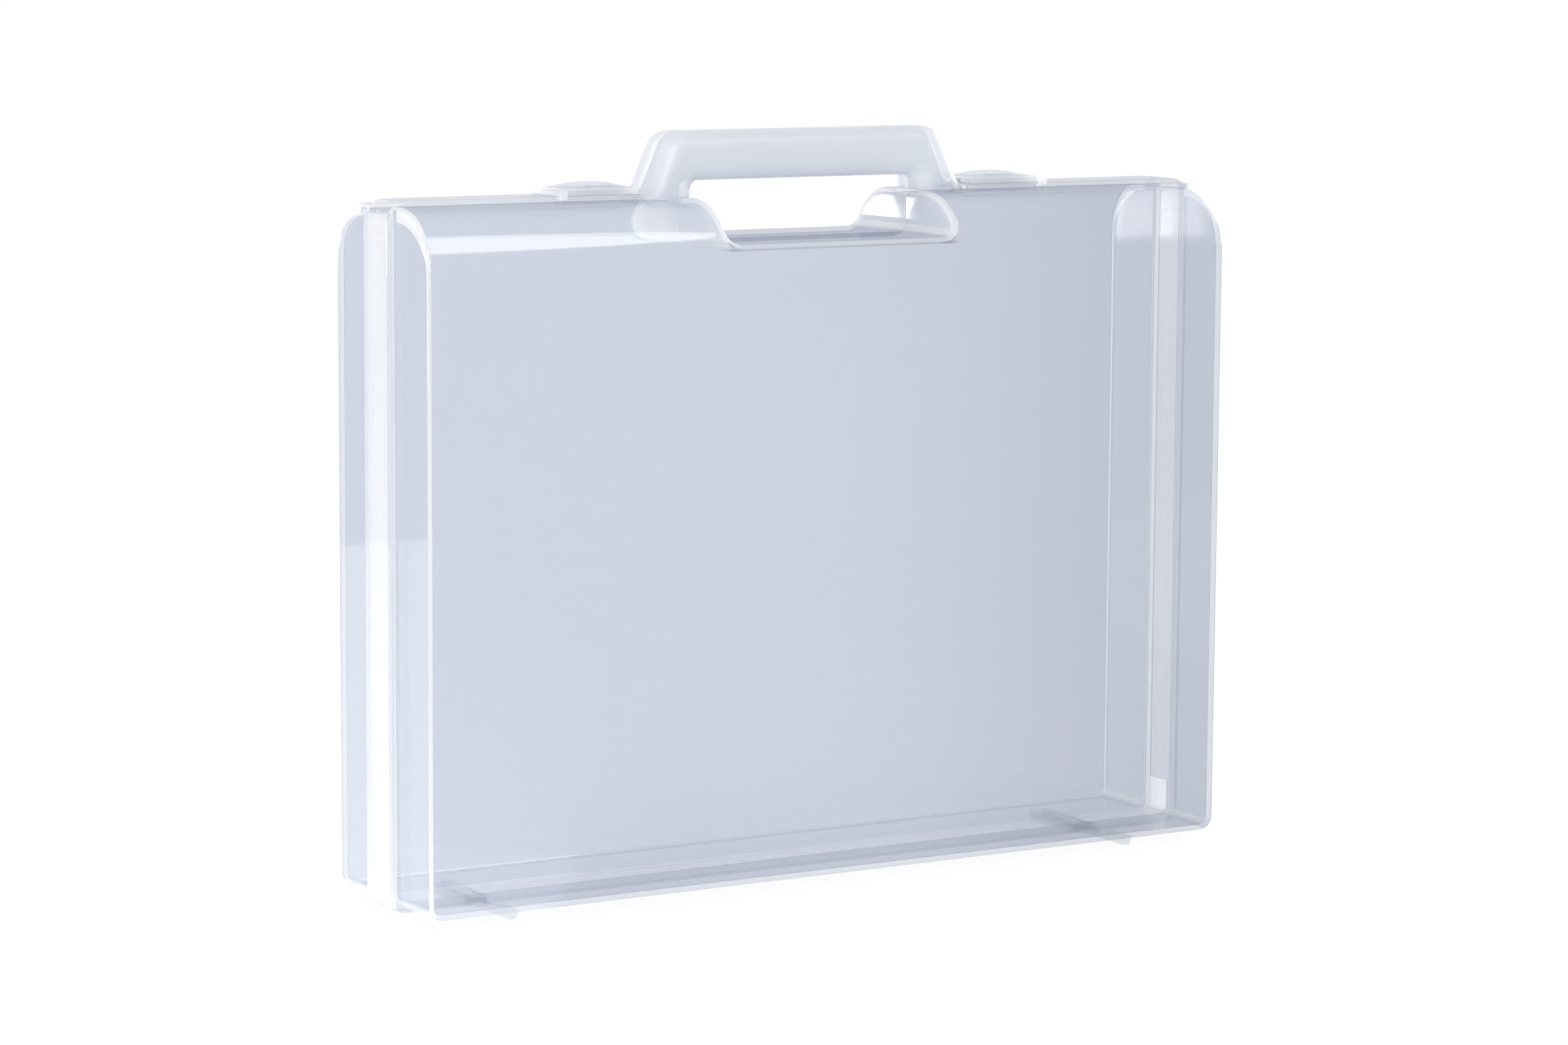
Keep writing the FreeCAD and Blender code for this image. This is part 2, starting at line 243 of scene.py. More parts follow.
far_card = soft_lamp("far_card", (-0.65, 1.2, 0.169), (0.13, 0.043), 0.19, aim=(0.183, 0.0, 0.26))
far_card.data.color = WARM_COLOUR
far_card.visible_camera = False
far_card.visible_diffuse = False

# %% [markdown]
# ## White and dark edges
# On clear plastic an edge gathers light from inside the wall. It looks white where it faces the lamps, and
# dark where it faces away. Painting it by hand would take long, so each face gets a mark from its own
# direction, as an attribute that the finish reads later: a painted highlight on an edge that faces the
# lamps, and painted shade on one that faces away. Flat walls and the large rolls stay clear.

# %% Edge marks
PAINTED_LIGHT_NAME = "painted_light_shade"
LIGHT_SIDE = Vector((-2.0, -1.2, 1.0))
LIGHT_LEVEL = 0.7
FULL_SLANT = 0.12
PAINTED_SHADE_SHARE = 0.5
ROLLS = ((-0.013, 0.249, 0.026), (0.017, 0.253, 0.022))  # depth and height of the middle, and radius
WALL = 0.002
ROLL_SLACK = (0.0006, 0.0004)
ROLL_ALIGNED = 0.985
NOTCH_END = (0.045, 0.062)
NOTCH_FOOT = 0.2545
# strength of the painted highlight on the left and the right end wall of the hand gap
LEFT_END_HIGHLIGHT, RIGHT_END_HIGHLIGHT = 0.95, 0.5


def on_roll(face):
    """True for the large rolls along the top, which stay as clear as the walls."""
    for middle_y, middle_z, radius in ROLLS:
        out = Vector((0, face.center.y - middle_y, face.center.z - middle_z))
        near = radius - WALL - ROLL_SLACK[0] < out.length < radius + ROLL_SLACK[1]
        if near and abs(out.normalized().dot(face.normal)) > ROLL_ALIGNED:
            return True
    return False


def paint_light_on_edges(mesh, is_shell, most):
    """Writes to each face its painted light and shade: all of it on rounded edges, by their way to the lamps,
    and a painted highlight on the notch's end walls.
    """
    mark = mesh.attributes.new(PAINTED_LIGHT_NAME, "FLOAT", "FACE")
    for face in mesh.polygons:
        slanted = min(1.0, (1 - max(abs(c) for c in face.normal)) / FULL_SLANT)
        towards = max(-1.0, min(1.0, face.normal.dot(LIGHT_SIDE) - LIGHT_LEVEL))
        white = most * slanted * (towards if towards > 0 else PAINTED_SHADE_SHARE * towards)
        x, _, z = face.center
        if is_shell and on_roll(face):
            white = 0.0
        # painted highlight on the hand gap's end walls, stronger on the left one
        elif is_shell and NOTCH_END[0] < abs(x) < NOTCH_END[1] and z > NOTCH_FOOT:
            white = max(white, LEFT_END_HIGHLIGHT if x < 0 else RIGHT_END_HIGHLIGHT)
        mark.data[face.index].value = white


print("edges look white towards", tuple(LIGHT_SIDE))

# %% [markdown]
# ## Room for rounded edges
# A rounding that is wider than the face beside it folds that face over, as on the narrow ledges of the
# rim. Blender can clamp all roundings to the smallest one, but then none would show. So each sharp edge
# keeps the largest share of the rounding that both of its faces have room for. Long thin faces fold at the
# round corners of the hand gap too, and a cut on each side of the gap shortens them.

# %% Shares of the rounding
SHARP = math.radians(32)
SHARES = (1.0, 0.6, 0.35, 0.15)
ROOM = 2.1
ON_SURFACE, SAME_FACE = 0.00003, 0.9
BESIDE_NOTCH = (-0.058, 0.058)
CUT_SNAP = 1e-7


def cut_beside_notch(form):
    """Cut a shell on both sides of the hand gap."""
    for x in BESIDE_NOTCH:
        bmesh.ops.bisect_plane(form, geom=form.verts[:] + form.edges[:] + form.faces[:], dist=CUT_SNAP,
                               plane_co=(x, 0, 0), plane_no=(1, 0, 0))


def has_room(surface, corner, reach):
    """True if a face goes on for the reach, measured square to the edge that starts at a corner."""
    start, end = corner.vert.co, corner.link_loop_next.vert.co
    inwards = corner.face.normal.cross(end - start).normalized()
    _, normal, _, gap = surface.find_nearest((start + end) / 2 + inwards * reach)
    return gap < ON_SURFACE and normal.dot(corner.face.normal) > SAME_FACE


def share_rounding(form, edge_round):
    """Give every sharp edge the largest share of the rounding that the faces beside it have room for."""
    surface = BVHTree.FromBMesh(form)
    weight = form.edges.layers.float.new("bevel_weight_edge")
    for edge in form.edges:
        if len(edge.link_faces) == 2 and edge.calc_face_angle() > SHARP:
            fitting = [part for part in SHARES
                       if all(has_room(surface, corner, ROOM * part * edge_round)
                              for corner in edge.link_loops)]
            edge[weight] = max(fitting, default=0.0)


print("shares of a rounding:", SHARES)

# %% [markdown]
# ## Moulded plastic copies
# The solids have exact sizes, but their edges are knife sharp, and a real moulding never is. A copy of a
# node's mesh is merged, and a Bevel modifier rounds its sharp edges by their shares. The result becomes a
# plain mesh and is kept inside the node's own box, so that the case doesn't grow.

# %% Plain copies
WELD = 2e-6


def new_piece(name, mesh):
    """An object at the origin that shows a mesh."""
    made = bpy.data.objects.new(name, mesh)
    scene.collection.objects.link(made)
    return made


def applied_mesh(thing):
    """The mesh of an object with its modifiers applied."""
    return bpy.data.meshes.new_from_object(thing.evaluated_get(bpy.context.evaluated_depsgraph_get()))


def merged_copy(node, name, edge_round):
    """A node's mesh with its corners merged and its edges ready for the rounding."""
    mesh = frame["nodes"][node].data.copy()
    mesh.name = name
    form = bmesh.new()
    form.from_mesh(mesh)
    bmesh.ops.remove_doubles(form, verts=form.verts, dist=WELD)
    if "shell" in node:
        cut_beside_notch(form)
    share_rounding(form, edge_round)
    form.to_mesh(mesh)
    form.free()
    if "custom_normal" in mesh.attributes:
        mesh.attributes.remove(mesh.attributes["custom_normal"])
    mesh.materials.clear()
    return mesh


def hold_in_box(mesh, node):
    """Keep a rounded mesh inside its node's box."""
    corners = frame["nodes"][node].bound_box
    for axis in range(3):
        low = min(corner[axis] for corner in corners)
        high = max(corner[axis] for corner in corners)
        for vertex in mesh.vertices:
            vertex.co[axis] = max(low, min(high, vertex.co[axis]))


print("copies are merged within", WELD, "m")

# %% [markdown]
# ## Rounded copies
# The rounding is made before the marks, because only the rounded faces know which way an edge looks.
# Weighted normals then keep the flat walls flat right up to their rounded edges. Shading that is only
# smooth would bend the light on them.

# %% Rounded copies
ROUND_STEPS = 3


def moulded(node, name, edge_round, edge_white=1.0):
    """A copy of a node with rounded edges, smooth where the solid is round."""
    made = new_piece(name, merged_copy(node, name, edge_round))
    rounding = made.modifiers.new("edge rounding", "BEVEL")
    rounding.width = edge_round
    rounding.segments = ROUND_STEPS
    rounding.limit_method = "WEIGHT"
    rounding.use_clamp_overlap = False
    rounded = applied_mesh(made)
    made.modifiers.clear()
    made.data = rounded
    hold_in_box(rounded, node)
    # painted highlight and painted shade on the rounded edges, by their direction to the lamps
    paint_light_on_edges(rounded, "shell" in node, edge_white)
    rounded.shade_smooth()
    rounded.set_sharp_from_angle(angle=SHARP)
    smooth = made.modifiers.new("even shading", "WEIGHTED_NORMAL")
    smooth.keep_sharp = True
    print(name, "has", len(rounded.polygons), "faces")
    return made


print("a rounding has", ROUND_STEPS, "steps")

# %% [markdown]
# ## Where the shell looks white or dark
# Clear plastic isn't equally clear all over. The rim is thick and catches light, so it looks white. A
# crescent under each roll is a painted highlight, made white in the same way. Where the front shell's tongue
# lies in the rear shell's skirt, two faces touch and act as one wall. The hand gap's floor is seen along its
# surface and gets painted shade, a darker tint and less gloss. The bottom wall gets painted light: it is
# clearer and less tinted, so the case's own shade doesn't darken it. Each zone is found from the place on
# the shell, so it moves with the shell when the case opens.

# %% Places on the shell
def between(tree, value, low, high):
    """1 where the value lies between low and high."""
    return math_node(tree, "MULTIPLY", math_node(tree, "GREATER_THAN", value, low),
                     math_node(tree, "LESS_THAN", value, high))


def spot_on_case(tree):
    """Distance from the middle to the left or right, depth and height of a point."""
    place = add_node(tree, "ShaderNodeTexCoord").outputs["Object"]
    spot = add_node(tree, "ShaderNodeSeparateXYZ", Vector=place).outputs
    return math_node(tree, "ABSOLUTE", spot["X"]), spot["Y"], spot["Z"]


def beyond(tree, side, height, limits):
    """1 for points further out than the limits to the side, above and below."""
    upright = math_node(tree, "MAXIMUM", math_node(tree, "GREATER_THAN", height, limits[1]),
                        math_node(tree, "LESS_THAN", height, limits[2]))
    return math_node(tree, "MAXIMUM", math_node(tree, "GREATER_THAN", side, limits[0]), upright)


# %% [markdown]
# ## White rim
# Seen from the side, the rim is a row of bands: the front flange, the seam, the lap of tongue and skirt,
# and the skirt's own step. Each is as white as its plastic is thick. A colour ramp from the front to the
# back holds all the bands in one node, which is shorter than a test for each.

# %% Rim zones
RIM_STEPS = ((-10.6, 0.0), (-10.4, 0.6), (-7.6, 0.6), (-7.3, 1.0), (4.0, 1.0), (4.3, 0.9), (8.1, 0.9),
             (8.3, 0.6), (11.2, 0.6), (11.4, 0.0))  # depth in millimetres, whiteness
RIM_SPAN = 12.0
RIM_SIDE, RIM_ABOVE, RIM_BELOW = 0.1862, 0.2762, 0.0028
PROUD = (0.1851, 0.2751, 0.0039)
RIM_FACES = ((-0.0107, -0.0101), (0.0109, 0.0115))
FACE_WHITE = 0.8


def rim_zone(tree):
    """How white the outside of the rim is, from front to back in millimetres."""
    side, depth, height = spot_on_case(tree)
    along = add_node(tree, "ShaderNodeMapRange", Value=depth, From_Min=-RIM_SPAN / 1000,
                     From_Max=RIM_SPAN / 1000)
    ramp = add_node(tree, "ShaderNodeValToRGB", Fac=along.outputs[0])
    stops = ramp.color_ramp.elements
    while len(stops) < len(RIM_STEPS):
        stops.new(0.5)
    for stop, (mm, white) in zip(stops, RIM_STEPS):
        stop.position = (mm + RIM_SPAN) / (2 * RIM_SPAN)
        stop.color = (white, white, white, 1)
    outside = math_node(tree, "MAXIMUM", math_node(tree, "GREATER_THAN", side, RIM_SIDE),
                        math_node(tree, "LESS_THAN", height, RIM_BELOW))
    return math_node(tree, "MULTIPLY", ramp.outputs["Color"], outside)


def rim_face_zone(tree):
    """How white the front and rear faces of the rim are."""
    side, depth, height = spot_on_case(tree)
    faces = math_node(tree, "MAXIMUM", *(between(tree, depth, *limits) for limits in RIM_FACES))
    proud = math_node(tree, "MULTIPLY", beyond(tree, side, height, PROUD), FACE_WHITE)
    return math_node(tree, "MULTIPLY", faces, proud)


print("rim has", len(RIM_STEPS), "steps of whiteness")

# %% [markdown]
# ## Crescents, lap, hand gap and bottom
# A painted highlight lies on the side wall where it runs into a roll, as a crescent: the space between the
# roll's arc and a second arc that drops away from it. The other three zones are plain boxes, so limits on
# depth, height and distance from the middle are enough for them.

# %% Other zones
# width of the painted highlight crescent under the front and the rear roll
HIGHLIGHT_CRESCENT_WIDTH = (0.006, 0.005)
CRESCENT_FADE = (0.0001, 0.0003)
CRESCENT_MARGIN = 0.0004
INNER_SIDE = 0.1825
LAP_DEPTH = (-0.0073, 0.0083)
LAP_SIDE, LAP_ABOVE = 0.1838, 0.2738
NOTCH_FLOOR, NOTCH_HALF = (0.2554, 0.2586), 0.0525
BOTTOM = 0.0045


def painted_highlight_crescent(tree, roll, thickness):
    """1 on the side walls in a crescent under a roll, thickest at the top: a painted highlight."""
    middle_y, middle_z, radius = roll
    side, depth, height = spot_on_case(tree)
    ahead = math_node(tree, "SUBTRACT", depth, middle_y)
    rise = math_node(tree, "SUBTRACT", height, middle_z)
    away = math_node(tree, "SQRT", math_node(tree, "ADD", math_node(tree, "MULTIPLY", ahead, ahead),
                                             math_node(tree, "MULTIPLY", rise, rise)))
    steep = math_node(tree, "DIVIDE", rise, away)
    reach = math_node(tree, "ADD", away, math_node(tree, "MULTIPLY", steep, thickness))
    inside = add_node(tree, "ShaderNodeMapRange", Value=reach, From_Min=radius - CRESCENT_FADE[0],
                      From_Max=radius + CRESCENT_FADE[1])
    on_wall = math_node(tree, "MULTIPLY", math_node(tree, "GREATER_THAN", side, INNER_SIDE),
                        between(tree, away, 0.0, radius - CRESCENT_MARGIN))
    on_wall = math_node(tree, "MULTIPLY", on_wall, math_node(tree, "GREATER_THAN", rise, 0.0))
    outer = math_node(tree, "GREATER_THAN", math_node(tree, "MULTIPLY", ahead, middle_y), 0.0)
    return math_node(tree, "MULTIPLY", math_node(tree, "MULTIPLY", inside.outputs[0], on_wall), outer)


def lap_zone(tree):
    """1 on the faces of tongue and skirt that touch inside the rim."""
    side, depth, height = spot_on_case(tree)
    lapped = math_node(tree, "MAXIMUM", between(tree, side, LAP_SIDE, RIM_SIDE),
                       between(tree, height, LAP_ABOVE, RIM_ABOVE))
    return math_node(tree, "MULTIPLY", between(tree, depth, *LAP_DEPTH), lapped)


def notch_zone(tree):
    """1 on the floor of the hand gap, which gets painted shade."""
    side, _, height = spot_on_case(tree)
    return math_node(tree, "MULTIPLY", between(tree, height, *NOTCH_FLOOR),
                     math_node(tree, "LESS_THAN", side, NOTCH_HALF))


def bottom_zone(tree):
    """1 on the bottom wall."""
    return math_node(tree, "LESS_THAN", spot_on_case(tree)[2], BOTTOM)


print("hand gap is", round(2000 * NOTCH_HALF), "mm wide")

# %% [markdown]
# ## Layers of the plastic
# The shells are clear polypropylene with a faint blue haze. Glass with refraction would bend the far
# edges, which 2 mm walls hardly do, so the walls are a mix: most light goes straight through a tint, a
# share is scattered by the haze, and a thin gloss lies on top that grows towards grazing angles.

# %% How white and how slanted
def mixed_colour(tree, share, first, second):
    """Colour between two others."""
    return add_node(tree, "ShaderNodeMix", {"data_type": "RGBA"}, _0=share, _6=first, _7=second).outputs[2]


def without(tree, value, share):
    """What is left of a value when a share of it is taken away."""
    return math_node(tree, "MULTIPLY", value, math_node(tree, "SUBTRACT", 1.0, share))


def slant(tree, power):
    """0 where a surface is seen straight on, rising to 1 where it is seen along it."""
    facing = add_node(tree, "ShaderNodeLayerWeight", Blend=0.5).outputs["Facing"]
    return math_node(tree, "POWER", facing, power)


def painted_light_on_face(tree):
    """The painted light on a face: above 0 a painted highlight on an edge, below 0 painted shade."""
    return add_node(tree, "ShaderNodeAttribute", {"attribute_name": PAINTED_LIGHT_NAME}).outputs["Fac"]


def whiteness(tree, rimmed):
    """How white a point is: its painted edge highlight, and the white zones on a shell, with painted
    highlight crescents.
    """
    white = math_node(tree, "MAXIMUM", painted_light_on_face(tree), 0.0)
    if rimmed:
        # painted highlights: a white crescent under each roll
        crescents = [painted_highlight_crescent(tree, roll, thick) for roll, thick in zip(ROLLS, HIGHLIGHT_CRESCENT_WIDTH)]
        for zone in (rim_zone(tree), rim_face_zone(tree), *crescents):
            white = math_node(tree, "MAXIMUM", white, zone)
    return white


print("white zones on a shell:", 2 + len(HIGHLIGHT_CRESCENT_WIDTH))

# %% [markdown]
# ## Light in the wall and through it
# Haze sends light to the front and on to the back, and more of it goes on where the plastic is white. A
# slow cloud of noise keeps it from looking painted. Light that goes straight through is tinted a little
# more towards the right, as painted shade, and most where a wall is seen along it.

# %% Haze and tint
# colour of the white zones: the thick rim, and the painted highlights on edges, crescents and end walls
EDGE_COLOUR = (0.87, 0.868, 0.866, 1)
LONG_WAY = (0.58, 0.61, 0.68, 1)
LONG_WAY_POWER = 4.0
# painted shade on the hand gap's floor
NOTCH_PAINTED_SHADE = (0.82, 0.83, 0.86, 1)
CLOUD_SCALE, CLOUD_LIGHTER = 9.0, 1.06
SCATTERED_ON = (0.5, 0.72)  # share that goes on to the back, in clear and in white plastic
# painted shade: the tint darkens towards the right side of the case
RIGHT_SHADE_TINT, RIGHT_SHADE_FROM, RIGHT_SHADE_TO = 0.938, 0.02, 0.19
# painted light: the bottom wall loses most of its darker tint, against the case's own shade
BOTTOM_PAINTED_LIGHT_TINT = 0.9


def haze_layer(tree, scatter, white, wave):
    """Light that the haze scatters, to the front and through to the back."""
    place = add_node(tree, "ShaderNodeTexCoord").outputs["Object"]
    cloud = add_node(tree, "ShaderNodeTexNoise", Vector=place, Scale=CLOUD_SCALE, Detail=3.0).outputs[0]
    milky = mixed_colour(tree, cloud, scatter, tuple(min(1, c * CLOUD_LIGHTER) for c in scatter))
    colour = mixed_colour(tree, white, milky, EDGE_COLOUR)
    front = add_node(tree, "ShaderNodeBsdfDiffuse", Color=colour, Normal=wave).outputs[0]
    behind = add_node(tree, "ShaderNodeBsdfTranslucent", Color=colour).outputs[0]
    share = add_node(tree, "ShaderNodeMapRange", Value=white, To_Min=SCATTERED_ON[0],
                     To_Max=SCATTERED_ON[1]).outputs[0]
    return add_node(tree, "ShaderNodeMixShader", _0=share, _1=front, _2=behind).outputs[0]


def through_layer(tree, tint, white, rimmed):
    """Light that goes straight through: darker on its long way through a wall seen along it, painted shade on
    dark edges, to the right and on the hand gap's floor, painted light on the bottom.
    """
    place = add_node(tree, "ShaderNodeTexCoord").outputs["Object"]
    across = add_node(tree, "ShaderNodeSeparateXYZ", Vector=place).outputs["X"]
    # painted shade towards the right side
    right_shade = add_node(tree, "ShaderNodeMapRange", {"interpolation_type": "SMOOTHSTEP"}, Value=across,
                    From_Min=RIGHT_SHADE_FROM, From_Max=RIGHT_SHADE_TO).outputs[0]
    passed = mixed_colour(tree, right_shade, tint, (*(c * RIGHT_SHADE_TINT for c in tint[:3]), 1))
    # painted shade: an edge that faces away from the lamps gets the darker tint
    dark = math_node(tree, "MAXIMUM", math_node(tree, "MULTIPLY", painted_light_on_face(tree), -1.0), 0.0)
    long_way = math_node(tree, "MINIMUM", math_node(tree, "ADD", slant(tree, LONG_WAY_POWER), dark), 1.0)
    long_way = without(tree, long_way, white)
    if rimmed:
        # painted light: the bottom wall is tinted less, against the case's own shade
        long_way = without(tree, long_way, math_node(tree, "MULTIPLY", bottom_zone(tree), BOTTOM_PAINTED_LIGHT_TINT))
    passed = mixed_colour(tree, long_way, passed, LONG_WAY)
    if rimmed:
        # painted shade: a darker tint on the hand gap's floor
        passed = mixed_colour(tree, notch_zone(tree), passed, NOTCH_PAINTED_SHADE)
        passed = mixed_colour(tree, lap_zone(tree), passed, WHITE)
    return add_node(tree, "ShaderNodeBsdfTransparent", Color=passed).outputs[0]


print("a white edge has the colour", EDGE_COLOUR[:3])

# %% [markdown]
# ## Surface of the plastic
# The mould leaves a faint swell on clear walls, and a fine frost where it was sandblasted. Both are noise
# in a Bump node, at two very different scales. The frost also makes the haze uneven, as small specks. The
# gloss grows towards grazing angles, and is held back where it would hide the hand gap and the bottom.

# %% Surface, haze and gloss
LEAST_GLOSS, MOST_GLOSS, GLOSS_POWER = 0.04, 0.45, 5.0
SWELL_SCALE, SWELL_STRENGTH, SWELL_HEIGHT = 7.0, 0.25, 0.001
FROST_SCALE, FROST_HEIGHT = 2600.0, 0.0002
FROST_RANGE, SPECK = (0.3, 0.7), 0.05
# the first of these is painted light: less haze on the bottom wall, which lies in the case's shade
BOTTOM_PAINTED_LIGHT_HAZE, BOTTOM_DULLER, NOTCH_DULLER = 0.7, 0.5, 0.75


def moulded_surface(tree, grain):
    """Normal of a moulded surface with a faint swell, and fine frost if it has a grain. Also the frost."""
    place = add_node(tree, "ShaderNodeTexCoord").outputs["Object"]
    swell = add_node(tree, "ShaderNodeTexNoise", Vector=place, Scale=SWELL_SCALE, Detail=1.0).outputs[0]
    wave = add_node(tree, "ShaderNodeBump", Strength=SWELL_STRENGTH, Distance=SWELL_HEIGHT,
                    Height=swell).outputs[0]
    if not grain:
        return wave, None
    frost = add_node(tree, "ShaderNodeTexNoise", Vector=place, Scale=FROST_SCALE, Detail=2.0).outputs[0]
    wave = add_node(tree, "ShaderNodeBump", Strength=grain, Distance=FROST_HEIGHT, Height=frost,
                    Normal=wave).outputs[0]
    return wave, frost


def haze_share(tree, white, frost, limits, rimmed):
    """How much of the wall is haze: more on white edges, uneven under frost, less where walls touch, and less
    on the bottom as painted light.
    """
    amount = add_node(tree, "ShaderNodeMapRange", Value=white, To_Min=limits[0], To_Max=limits[1]).outputs[0]
    if frost is not None:
        speck = add_node(tree, "ShaderNodeMapRange", Value=frost, From_Min=FROST_RANGE[0],
                         From_Max=FROST_RANGE[1], To_Min=-SPECK, To_Max=SPECK).outputs[0]
        amount = math_node(tree, "ADD", amount, speck)
    if rimmed:
        # painted light: less haze on the bottom wall, which lies in the case's own shade
        bottom = math_node(tree, "MULTIPLY", bottom_zone(tree), BOTTOM_PAINTED_LIGHT_HAZE)
        amount = without(tree, amount, math_node(tree, "MAXIMUM", lap_zone(tree), bottom))
    return amount


def gloss_share(tree, rimmed):
    """How much of the surface mirrors, less on the floor of the hand gap and on the bottom."""
    mirrored = add_node(tree, "ShaderNodeMapRange", Value=slant(tree, GLOSS_POWER), To_Min=LEAST_GLOSS,
                        To_Max=MOST_GLOSS).outputs[0]
    if rimmed:
        # less gloss on the hand gap's floor keeps its painted shade dark
        dull = math_node(tree, "MAXIMUM", math_node(tree, "MULTIPLY", notch_zone(tree), NOTCH_DULLER),
                         math_node(tree, "MULTIPLY", bottom_zone(tree), BOTTOM_DULLER))
        mirrored = without(tree, mirrored, dull)
    return mirrored


print("gloss goes from", LEAST_GLOSS, "to", MOST_GLOSS)

# %% [markdown]
# ## The five finishes
# One function joins the layers, so the finishes differ only in a few numbers. Shell and latch are both
# glossy, but the latch is thicker for its size, so it is milkier. The thumb rest is a lens and a little
# bluer. The handle is frosted, so its gloss is broad. The pins are milky, with a duller gloss.

# %% Clear plastic
def clear_plastic(name, tint, scatter, haze, roughness, edge_haze=0.8, rimmed=False, grain=0.0):
    """Clear plastic: tint is what goes through, scatter is the colour of its haze."""
    made, tree, out = blank_material(name)
    white = whiteness(tree, rimmed)
    wave, frost = moulded_surface(tree, grain)
    wall = add_node(tree, "ShaderNodeMixShader", _0=haze_share(tree, white, frost, (haze, edge_haze), rimmed),
                    _1=through_layer(tree, (*tint, 1), white, rimmed),
                    _2=haze_layer(tree, (*scatter, 1), white, wave)).outputs[0]
    gloss = add_node(tree, "ShaderNodeBsdfGlossy", Color=WHITE, Roughness=roughness, Normal=wave).outputs[0]
    whole = add_node(tree, "ShaderNodeMixShader", _0=gloss_share(tree, rimmed), _1=wall, _2=gloss)
    tree.links.new(whole.outputs[0], out.inputs["Surface"])
    print(name, "has", len(tree.nodes), "nodes")
    return made


shell_plastic = clear_plastic("clear shell plastic", (0.94, 0.95, 0.968), (0.46, 0.5, 0.59), haze=0.17,
                              roughness=0.035, rimmed=True)
latch_plastic = clear_plastic("clear latch plastic", (0.97, 0.975, 0.985), (0.9, 0.905, 0.915), haze=0.6,
                              roughness=0.08, edge_haze=0.85)
lens_plastic = clear_plastic("clear lens plastic", (0.95, 0.96, 0.98), (0.8, 0.825, 0.875), haze=0.45,
                             roughness=0.08)
handle_plastic = clear_plastic("frosted handle plastic", (0.945, 0.957, 0.975), (0.705, 0.723, 0.763),
                               haze=0.36, roughness=0.35, edge_haze=0.65, grain=0.3)
pin_plastic = clear_plastic("milky pin plastic", (0.95, 0.965, 0.985), (0.8, 0.82, 0.85), haze=0.6,
                            roughness=0.2)

# %% [markdown]
# ## The shells and the handle
# Each shell is one moulding with half of the handle on it. The handle is frosted in the mould, so its
# halves get a finish of their own, while the shells keep theirs. The round shapes are already in the
# solids, so rounded copies are the right start here, and nothing has to be drawn twice.

# %% Shells and handle halves
SHELL_ROUND = 0.0004
# GRIP_WHITE sets the painted edge highlight on the handle halves
GRIP_ROUND, GRIP_WHITE = 0.0006, 0.5


def dress(piece, nodes, finish):
    """Gives a piece its finish, and its place on the body that its nodes belong to."""
    if not piece.data.materials:
        piece.data.materials.append(finish)
    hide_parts(*nodes)
    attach(piece, frame["nodes"][nodes[0]]["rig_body"])


for half in ("rear", "front"):
    shell = moulded(f"{half}_shell", f"{half}_shell_moulding", SHELL_ROUND)
    dress(shell, [f"{half}_shell"], shell_plastic)
    grip = moulded(f"{half}_handle_half", f"{half}_grip_half", GRIP_ROUND, GRIP_WHITE)
    dress(grip, [f"{half}_handle_half"], handle_plastic)

# %% [markdown]
# ## Hinge plates
# Thin plates under the lower corners carry the pins and serve as feet. They are all the same plate, set
# at regular steps, so a Geometry Nodes tree makes them: it fills the plate's side view with its bore,
# gives it a thickness, and sets a row of them along the hinge line.

# %% Side view of a hinge plate
FOOT = 0.004
HINGE_Z = 0.0015
KNUCKLE = 0.0015
PLATE_END = 0.0315
PLATE_SLOPE = 0.0018
BORE_POINTS = 24
KNUCKLE_STEPS = 10


def plate_outline(corners, bore):
    """Side view of a hinge plate as a curve: its corners, its round knuckle and its bore."""
    curve = bpy.data.curves.new("plate side view", "CURVE")
    curve.dimensions = "3D"
    turns = [2 * math.pi * i / BORE_POINTS for i in range(BORE_POINTS)]
    hole = [(bore * math.cos(a), HINGE_Z + bore * math.sin(a)) for a in turns]
    for loop in (corners, hole):
        line = curve.splines.new("POLY")
        line.points.add(len(loop) - 1)
        for point, (y, z) in zip(line.points, loop):
            point.co = (y, z, 0, 1)
        line.use_cyclic_u = True
    return curve


def knuckle_arc(first, last):
    """Points round the knuckle from one angle to another, in degrees."""
    turns = [math.radians(first + (last - first) * i / KNUCKLE_STEPS) for i in range(KNUCKLE_STEPS + 1)]
    return [(KNUCKLE * math.cos(a), HINGE_Z + KNUCKLE * math.sin(a)) for a in turns]


print("hinge plate is", round(1000 * (PLATE_END + PLATE_SLOPE), 1), "mm long")

